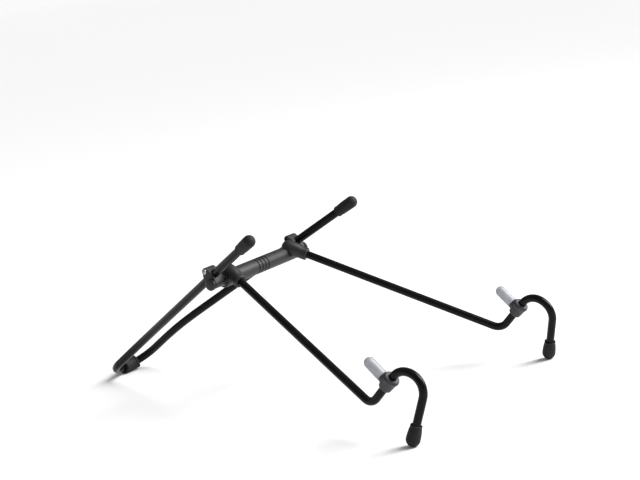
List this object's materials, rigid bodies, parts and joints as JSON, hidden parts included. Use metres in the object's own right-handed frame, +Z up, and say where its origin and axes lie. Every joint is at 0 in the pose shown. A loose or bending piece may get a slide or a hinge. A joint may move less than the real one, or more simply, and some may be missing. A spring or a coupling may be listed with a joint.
{
  "type": "tablet stand",
  "caption": "Folding wire easel for a tablet: hooked front feet with turning grips, and a hairpin rear leg whose capped prongs carry the tablet's back.",
  "frame": {"origin": "middle of the stand on the surface it stands on, with the leg open", "axes": "+X to the right, +Y from the front feet to the rear foot, +Z up"},
  "size_m": [0.147, 0.2769, 0.1002],
  "materials": {
    "black_coat": "satin black coat on round steel wire",
    "black_rubber": "matte black rubber",
    "grey_rubber": "dark grey rubber with a soft sheen",
    "clear_rubber": "frosted translucent white",
    "black_moulding": "fine-grained black moulding",
    "steel": "dull plated steel"
  },
  "bodies": {
    "front_frame": {"left_front_wire": "black_coat", "right_front_wire": "black_coat", "left_front_cap": "black_rubber", "right_front_cap": "black_rubber", "pivot_barrel": "black_moulding", "pivot_axle": "steel", "left_washer": "steel", "right_washer": "steel", "left_axle_cap": "black_moulding", "right_axle_cap": "black_moulding"},
    "rear_leg": {"rear_wire": "black_coat", "rear_foot_sleeve": "black_rubber", "left_prong_cap": "black_rubber", "right_prong_cap": "black_rubber", "left_knuckle_inner": "black_moulding", "right_knuckle_inner": "black_moulding", "left_knuckle_outer": "black_moulding", "right_knuckle_outer": "black_moulding", "left_clamp_screw": "steel", "right_clamp_screw": "steel"},
    "left_grip": {"left_grip_collar": "grey_rubber", "left_grip_lip": "clear_rubber", "left_grip_peg": "clear_rubber"},
    "right_grip": {"right_grip_collar": "grey_rubber", "right_grip_lip": "clear_rubber", "right_grip_peg": "clear_rubber"}
  },
  "joints": [
    {"name": "rear_leg_fold", "type": "hinge", "parent": "front_frame", "child": "rear_leg", "pos_m": [0, 0.01118, 0.07106], "axis": [1, 0, 0], "range_deg": [-120, 0]},
    {"name": "left_grip_turn", "type": "hinge", "parent": "front_frame", "child": "left_grip", "pos_m": [-0.065, -0.11605, 0.03006], "axis": [0, 0.7096, -0.7046], "range_deg": [-90, 90]},
    {"name": "right_grip_turn", "type": "hinge", "parent": "front_frame", "child": "right_grip", "pos_m": [0.065, -0.11605, 0.03006], "axis": [0, 0.7096, -0.7046], "range_deg": [-90, 90]}
  ]
}
